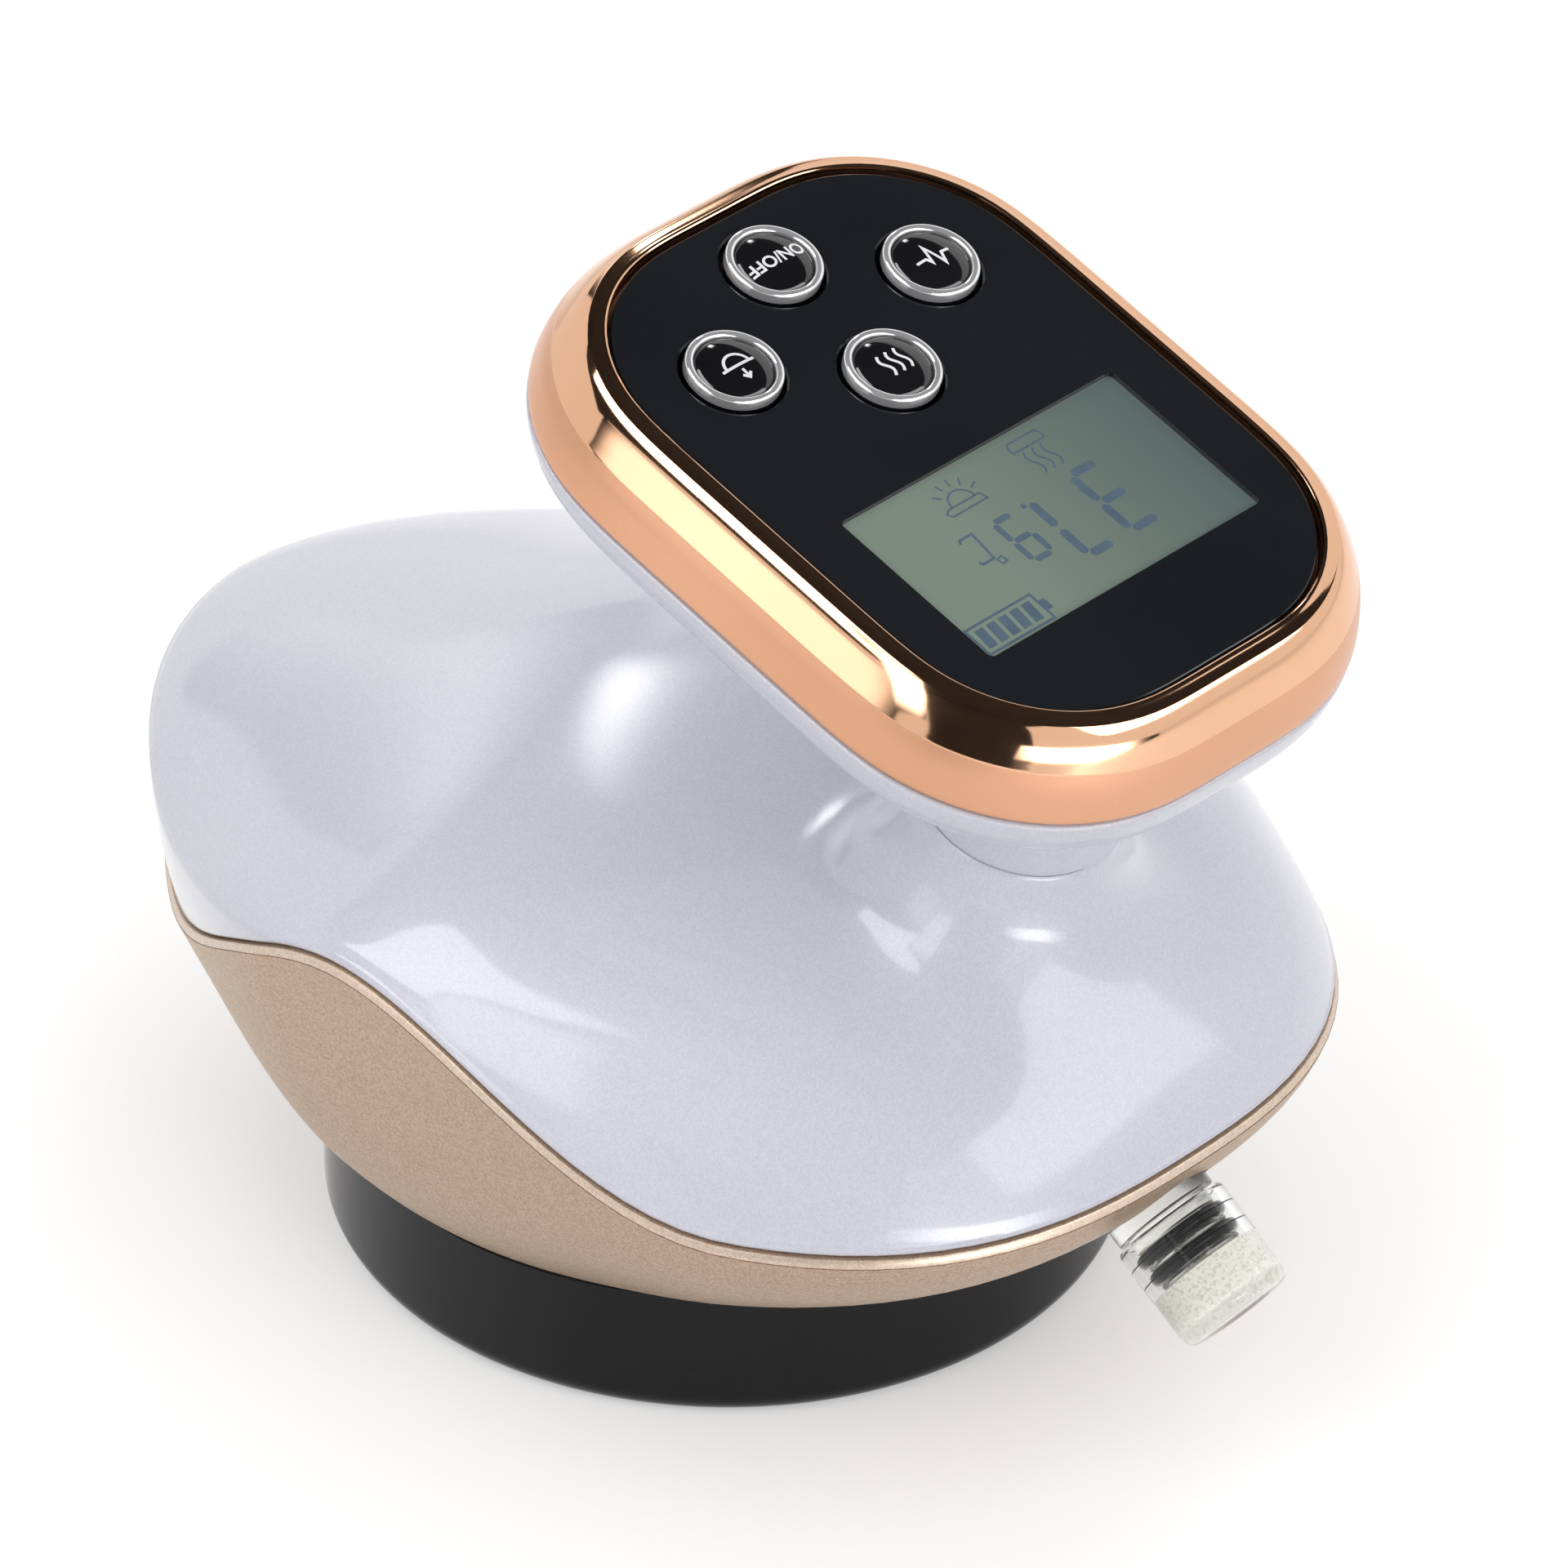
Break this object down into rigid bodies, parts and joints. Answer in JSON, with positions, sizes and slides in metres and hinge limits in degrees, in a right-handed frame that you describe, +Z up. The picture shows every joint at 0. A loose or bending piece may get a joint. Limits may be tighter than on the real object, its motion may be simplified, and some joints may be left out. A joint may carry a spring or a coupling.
{
  "type": "electric cupping massager",
  "caption": "Hand held cupping massager: tilted control head on a neck, egg shaped body, round suction cup below and a small clear collecting cup in front.",
  "frame": {"origin": "centre of the suction cup's rim, on the surface that the massager stands on", "axes": "+Z up along the suction cup's axis; +Y from the palm hump towards the neck and the collecting cup; X across, with left and right alike on the outside"},
  "size_m": [0.101, 0.1395, 0.1123],
  "materials": {
    "pearl_white_plastic": "glossy pearl white",
    "champagne_paint": "champagne gold paint with a fine sparkle, on plastic",
    "black_gloss": "glossy black",
    "black_acrylic": "polished black acrylic",
    "rose_gold_chrome": "rose gold chrome plating on plastic",
    "silver_chrome": "silver chrome plating on plastic",
    "steel": "plain steel",
    "clear_plastic": "clear plastic",
    "red_clear_plastic": "clear red plastic",
    "lcd_glass": "grey green display glass",
    "black_rubber": "soft black rubber",
    "dark_plastic": "matte dark grey",
    "white_plastic": "matte white",
    "circuit_board": "green lacquered board",
    "battery_wrap": "wrapped foil cell",
    "silicone_hose": "translucent silicone"
  },
  "bodies": {
    "massager": {"upper_shell": "pearl_white_plastic", "lower_shell": "champagne_paint", "suction_cup": "black_gloss", "electrode_ring": "steel", "red_light_lens": "red_clear_plastic", "lamp_board": "circuit_board", "heating_plate": "steel", "head_under_shell": "pearl_white_plastic", "bezel": "rose_gold_chrome", "control_panel": "black_acrylic", "display_window": "clear_plastic", "lcd_glass": "lcd_glass", "lcd_backlight": "white_plastic", "control_board": "circuit_board", "power_switch": "dark_plastic", "heat_switch": "dark_plastic", "vacuum_switch": "dark_plastic", "pulse_switch": "dark_plastic", "collector_port": "clear_plastic", "o_ring_1": "black_rubber", "o_ring_2": "black_rubber", "charging_inlet": "steel", "case_screw_1": "steel", "case_screw_2": "steel", "case_screw_3": "steel", "case_screw_4": "steel", "board_screw_1": "steel", "board_screw_2": "steel", "board_screw_3": "steel", "board_screw_4": "steel", "main_board": "circuit_board", "battery": "battery_wrap", "pump_cradle": "dark_plastic", "pump_motor": "steel", "pump_frame": "dark_plastic", "pump_rod": "white_plastic", "pump_head": "dark_plastic", "release_valve": "dark_plastic", "suction_nozzle": "white_plastic", "chamber_hose": "silicone_hose", "pump_hose": "silicone_hose", "head_lead": "black_rubber"},
    "power_button": {"power_button": "black_gloss", "power_button_ring": "silver_chrome"},
    "heat_button": {"heat_button": "black_gloss", "heat_button_ring": "silver_chrome"},
    "vacuum_button": {"vacuum_button": "black_gloss", "vacuum_button_ring": "silver_chrome"},
    "pulse_button": {"pulse_button": "black_gloss", "pulse_button_ring": "silver_chrome"},
    "collecting_cup": {"collecting_cup": "clear_plastic"},
    "pump_crank": {"pump_crank": "white_plastic"},
    "valve_plunger": {"valve_plunger": "steel"}
  },
  "joints": [
    {"name": "power_press", "type": "slide", "parent": "massager", "child": "power_button", "axis": [0, -0.2924, -0.9563], "range_m": [0, 0.0006], "stiffness_N_per_m": 500, "springref_m": -0.001},
    {"name": "heat_press", "type": "slide", "parent": "massager", "child": "heat_button", "axis": [0, -0.2924, -0.9563], "range_m": [0, 0.0006], "stiffness_N_per_m": 500, "springref_m": -0.001},
    {"name": "vacuum_press", "type": "slide", "parent": "massager", "child": "vacuum_button", "axis": [0, -0.2924, -0.9563], "range_m": [0, 0.0006], "stiffness_N_per_m": 500, "springref_m": -0.001},
    {"name": "pulse_press", "type": "slide", "parent": "massager", "child": "pulse_button", "axis": [0, -0.2924, -0.9563], "range_m": [0, 0.0006], "stiffness_N_per_m": 500, "springref_m": -0.001},
    {"name": "cup_pull", "type": "slide", "parent": "massager", "child": "collecting_cup", "axis": [0, 0.829, -0.5592], "range_m": [0, 0.008]},
    {"name": "crank_turn", "type": "hinge", "parent": "massager", "child": "pump_crank", "pos_m": [-0.0045, -0.03, 0.0316], "axis": [0, 1, 0], "continuous": true},
    {"name": "valve_press", "type": "slide", "parent": "massager", "child": "valve_plunger", "axis": [0, 0, -1], "range_m": [0, 0.001], "stiffness_N_per_m": 300, "springref_m": -0.001}
  ]
}
